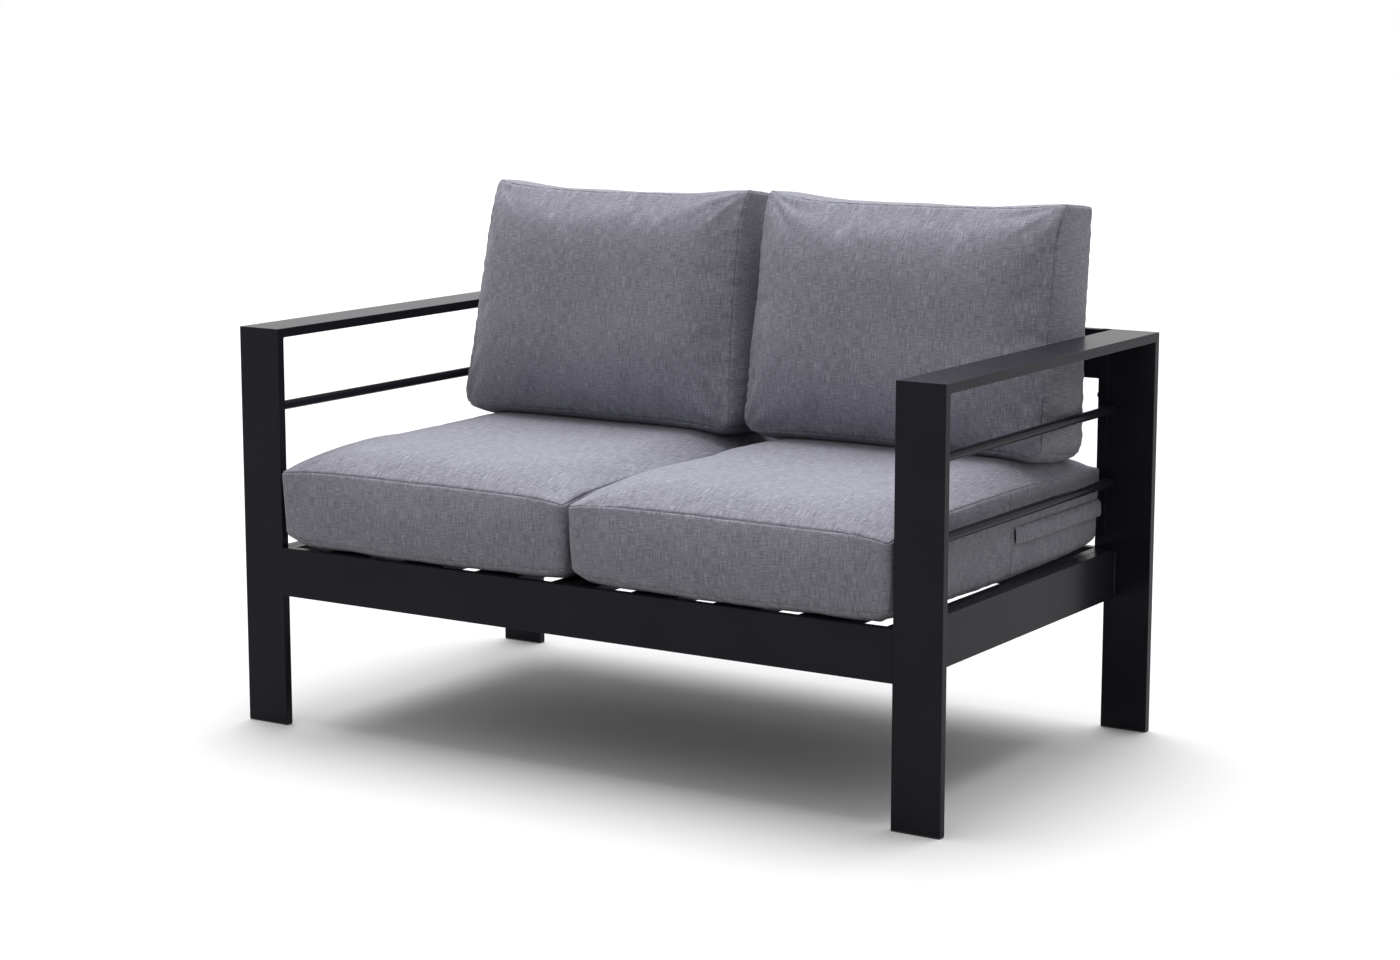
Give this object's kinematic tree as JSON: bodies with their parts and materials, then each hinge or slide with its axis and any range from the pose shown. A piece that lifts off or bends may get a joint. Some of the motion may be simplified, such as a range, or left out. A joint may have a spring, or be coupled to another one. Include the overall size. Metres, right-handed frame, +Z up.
{
  "type": "patio loveseat",
  "caption": "Low outdoor seat for two: square arm loops of flat dark tube with slim side rods, slatted seat and back, and loose box cushions in grey woven cloth.",
  "frame": {"origin": "on the floor, under the middle of the loveseat's overall box", "axes": "+Z up; +X to the right of someone who looks at the seat from the front, along the seat's width; +Y from front to back"},
  "size_m": [1.29, 0.738, 0.8613],
  "materials": {
    "frame_aluminium": "matt charcoal powder coat on aluminium tube",
    "foot_plastic": "black moulded nylon",
    "fastener_steel": "blackened stainless steel",
    "seat_fabric": "mid grey woven outdoor polyester",
    "back_fabric": "mid grey woven outdoor polyester",
    "cushion_foam": "open cell foam slab in fibre wrap",
    "cushion_fibre": "loose polyester fibre in an inner bag",
    "zip_nylon": "grey nylon coil zip on woven tape"
  },
  "bodies": {
    "frame": {"front_leg_left": "frame_aluminium", "rear_leg_left": "frame_aluminium", "armrest_left": "frame_aluminium", "lower_arm_rod_left": "frame_aluminium", "upper_arm_rod_left": "frame_aluminium", "side_rail_left": "frame_aluminium", "corner_welds_left": "frame_aluminium", "side_bar_left": "frame_aluminium", "back_post_left": "frame_aluminium", "front_foot_plug_left": "foot_plastic", "rear_foot_plug_left": "foot_plastic", "front_leg_right": "frame_aluminium", "rear_leg_right": "frame_aluminium", "armrest_right": "frame_aluminium", "lower_arm_rod_right": "frame_aluminium", "upper_arm_rod_right": "frame_aluminium", "side_rail_right": "frame_aluminium", "corner_welds_right": "frame_aluminium", "side_bar_right": "frame_aluminium", "back_post_right": "frame_aluminium", "front_foot_plug_right": "foot_plastic", "rear_foot_plug_right": "foot_plastic", "front_rail": "frame_aluminium", "rear_rail": "frame_aluminium", "back_top_rail": "frame_aluminium", "seat_slat_1": "frame_aluminium", "back_slat_1": "frame_aluminium", "seat_slat_2": "frame_aluminium", "back_slat_2": "frame_aluminium", "seat_slat_3": "frame_aluminium", "back_slat_3": "frame_aluminium", "seat_slat_4": "frame_aluminium", "back_slat_4": "frame_aluminium", "seat_slat_5": "frame_aluminium", "back_slat_5": "frame_aluminium", "seat_slat_6": "frame_aluminium", "back_slat_6": "frame_aluminium", "seat_slat_7": "frame_aluminium", "back_slat_7": "frame_aluminium", "side_screws": "fastener_steel", "post_screws": "fastener_steel", "rivet_nuts": "fastener_steel"},
    "seat_cushion_left": {"seat_cover_left": "seat_fabric", "seat_foam_left": "cushion_foam", "seat_zip_left": "zip_nylon", "seat_zip_flap_left": "seat_fabric"},
    "seat_cushion_right": {"seat_cover_right": "seat_fabric", "seat_foam_right": "cushion_foam", "seat_zip_right": "zip_nylon", "seat_zip_flap_right": "seat_fabric"},
    "back_cushion_left": {"back_cover_left": "back_fabric", "back_filling_left": "cushion_fibre", "back_zip_left": "zip_nylon", "back_zip_flap_left": "back_fabric"},
    "back_cushion_right": {"back_cover_right": "back_fabric", "back_filling_right": "cushion_fibre", "back_zip_right": "zip_nylon", "back_zip_flap_right": "back_fabric"}
  },
  "joints": [
    {"name": "seat_left_slide", "type": "slide", "parent": "frame", "child": "seat_cushion_left", "axis": [0, -1, 0], "range_m": [0, 0.72]},
    {"name": "seat_right_slide", "type": "slide", "parent": "frame", "child": "seat_cushion_right", "axis": [0, -1, 0], "range_m": [0, 0.72]},
    {"name": "back_left_lift", "type": "slide", "parent": "frame", "child": "back_cushion_left", "axis": [0, 0, 1], "range_m": [0, 0.42]},
    {"name": "back_right_lift", "type": "slide", "parent": "frame", "child": "back_cushion_right", "axis": [0, 0, 1], "range_m": [0, 0.42]}
  ]
}
